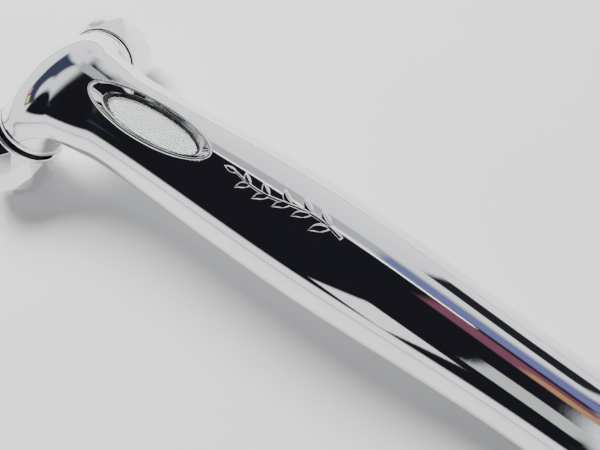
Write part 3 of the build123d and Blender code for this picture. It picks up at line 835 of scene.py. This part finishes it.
def edgeMask(value, size, soft):
    wide = nodes.new("ShaderNodeMath")
    wide.operation = "ABSOLUTE"
    links.new(value, wide.inputs[0])
    ramp = nodes.new("ShaderNodeMapRange")
    ramp.interpolation_type = "SMOOTHSTEP"
    ramp.inputs["From Min"].default_value = size - soft
    ramp.inputs["From Max"].default_value = size + soft
    ramp.inputs["To Min"].default_value = 1
    ramp.inputs["To Max"].default_value = 0
    links.new(wide.outputs[0], ramp.inputs["Value"])
    return ramp.outputs["Result"]


def times(a, b):
    product = nodes.new("ShaderNodeMath")
    product.operation = "MULTIPLY"
    links.new(a, product.inputs[0])
    links.new(b, product.inputs[1])
    return product.outputs[0]


def addPatch(below, patch):
    # soft-edged rectangle in direction space, centred on one direction
    centre = np.array(patch["towards"], float)
    centre /= np.linalg.norm(centre)
    along = np.array(patch["along"], float)
    along -= centre * (along @ centre)
    along /= np.linalg.norm(along)
    across = np.cross(along, centre)
    facing = nodes.new("ShaderNodeMath")
    facing.operation = "GREATER_THAN"
    facing.inputs[1].default_value = 0
    links.new(dotWith(centre), facing.inputs[0])
    mask = times(edgeMask(dotWith(along), patch["length"], patch["soft"]),
                 edgeMask(dotWith(across), patch["width"], patch["soft"]))
    mask = times(times(mask, facing.outputs[0]), aboveHorizon)
    mix = nodes.new("ShaderNodeMix")
    mix.data_type = "RGBA"
    mix.inputs["B"].default_value = (*patch["colour"], 1)
    links.new(mask, mix.inputs["Factor"])
    links.new(below, mix.inputs["A"])
    return mix.outputs["Result"]


height = nodes.new("ShaderNodeMapRange")
height.inputs["From Min"].default_value = 0.0
height.inputs["From Max"].default_value = 0.9
links.new(dotWith((0, 0, 1)), height.inputs["Value"])
base = nodes.new("ShaderNodeMix")
base.data_type = "RGBA"
base.inputs["A"].default_value = (1.25, 1.26, 1.28, 1)
base.inputs["B"].default_value = (0.95, 0.96, 1.0, 1)
links.new(height.outputs["Result"], base.inputs["Factor"])
# direction of the middle, direction of the length, half length, half width, soft edge, colour
patchKeys = ("towards", "along", "length", "width", "soft", "colour")
patchRows = [
    ((-0.415, 0.05, 0.91), (0, 1, 0), 0.64, 0.78, 0.035, (0.012, 0.012, 0.016)),
    ((0.6, 0.1, 0.79), (0, 1, 0), 0.62, 0.11, 0.03, (0.5, 0.51, 0.53)),
    ((0.47, 0.1, 0.88), (0.1, 1, 0), 0.5, 0.018, 0.01, (2.0, 2.0, 2.0)),
    ((-0.84, -0.17, 0.51), (0.35, -0.5, 0.7), 0.22, 0.13, 0.02, (1.1, 1.1, 1.12)),
    ((-0.42, -0.53, 0.74), (1, 0.1, 0), 0.17, 0.09, 0.02, (0.62, 0.63, 0.62)),
    ((0.25, -0.47, 0.85), (0.15, 1, 0), 0.17, 0.11, 0.03, (0.2, 0.07, 0.11)),
    ((0.16, -0.62, 0.77), (0.1, 1, 0), 0.12, 0.06, 0.02, (0.5, 0.28, 0.12)),
    ((0.52, -0.38, 0.76), (0, 1, 0), 0.26, 0.1, 0.03, (0.17, 0.18, 0.42)),
    ((0.83, -0.37, 0.42), (0, 1, 0), 0.17, 0.15, 0.02, (0.02, 0.02, 0.025)),
    ((-0.1, 0.85, 0.5), (1, 0, 0), 0.5, 0.14, 0.04, (0.05, 0.06, 0.1)),
    ((-0.45, 0.8, 0.4), (1, 0, 0), 0.1, 0.05, 0.02, (0.85, 0.72, 0.2)),
    ((-0.25, 0.88, 0.4), (1, 0, 0), 0.07, 0.05, 0.02, (0.8, 0.3, 0.45)),
    ((-0.5, -0.7, 0.42), (1, 0, 0), 0.3, 0.08, 0.03, (0.03, 0.035, 0.08)),
]
patches = [dict(zip(patchKeys, row)) for row in patchRows]
# the patches fade out low down, so that the horizon stays plain
fade = nodes.new("ShaderNodeMapRange")
fade.interpolation_type = "SMOOTHSTEP"
fade.inputs["From Min"].default_value = 0.2
fade.inputs["From Max"].default_value = 0.3
links.new(dotWith((0, 0, 1)), fade.inputs["Value"])
aboveHorizon = fade.outputs["Result"]
mixed = base.outputs["Result"]
for patch in patches:
    mixed = addPatch(mixed, patch)
links.new(mixed, background.inputs["Color"])
background.inputs["Strength"].default_value = 1.15

lamp = bpy.data.lights.new("key", "AREA")
lamp.shape = "DISK"
lamp.size = 0.5
lamp.energy = 16.0
lamp.color = (1.0, 0.99, 0.97)
key = bpy.data.objects.new("key", lamp)
bpy.context.scene.collection.objects.link(key)
key.location = (0.25, 0.45, 0.7)
towards = np.array([0, 0.02, 0]) - np.array(key.location)
towards /= np.linalg.norm(towards)
right = np.cross(towards, (0, 0, 1))
right /= np.linalg.norm(right)
keyUp = np.cross(right, towards)
keyRows = [[right[i], keyUp[i], -towards[i], key.location[i]] for i in range(3)]
key.matrix_world = Matrix(keyRows + [[0, 0, 0, 1]])
key.visible_glossy = False

cameraShape = {
    "at": (-0.02880, -0.03672, 0.10752), "right": (0.57815, -0.80966, -0.10100),
    "down": (-0.75871, -0.48793, -0.43160), "forward": (0.30016, 0.32616, -0.89639), "lens": 33.5,
}
eye = bpy.data.cameras.new("camera")
eye.lens = cameraShape["lens"]
eye.sensor_width = 36
eye.clip_start = 0.005
eye.clip_end = 20
eye.dof.use_dof = False
camera = bpy.data.objects.new("camera", eye)
bpy.context.scene.collection.objects.link(camera)
cameraRows = [[cameraShape["right"][i], -cameraShape["down"][i], -cameraShape["forward"][i],
               cameraShape["at"][i]] for i in range(3)]
camera.matrix_world = Matrix(cameraRows + [[0, 0, 0, 1]])
bpy.context.scene.camera = camera
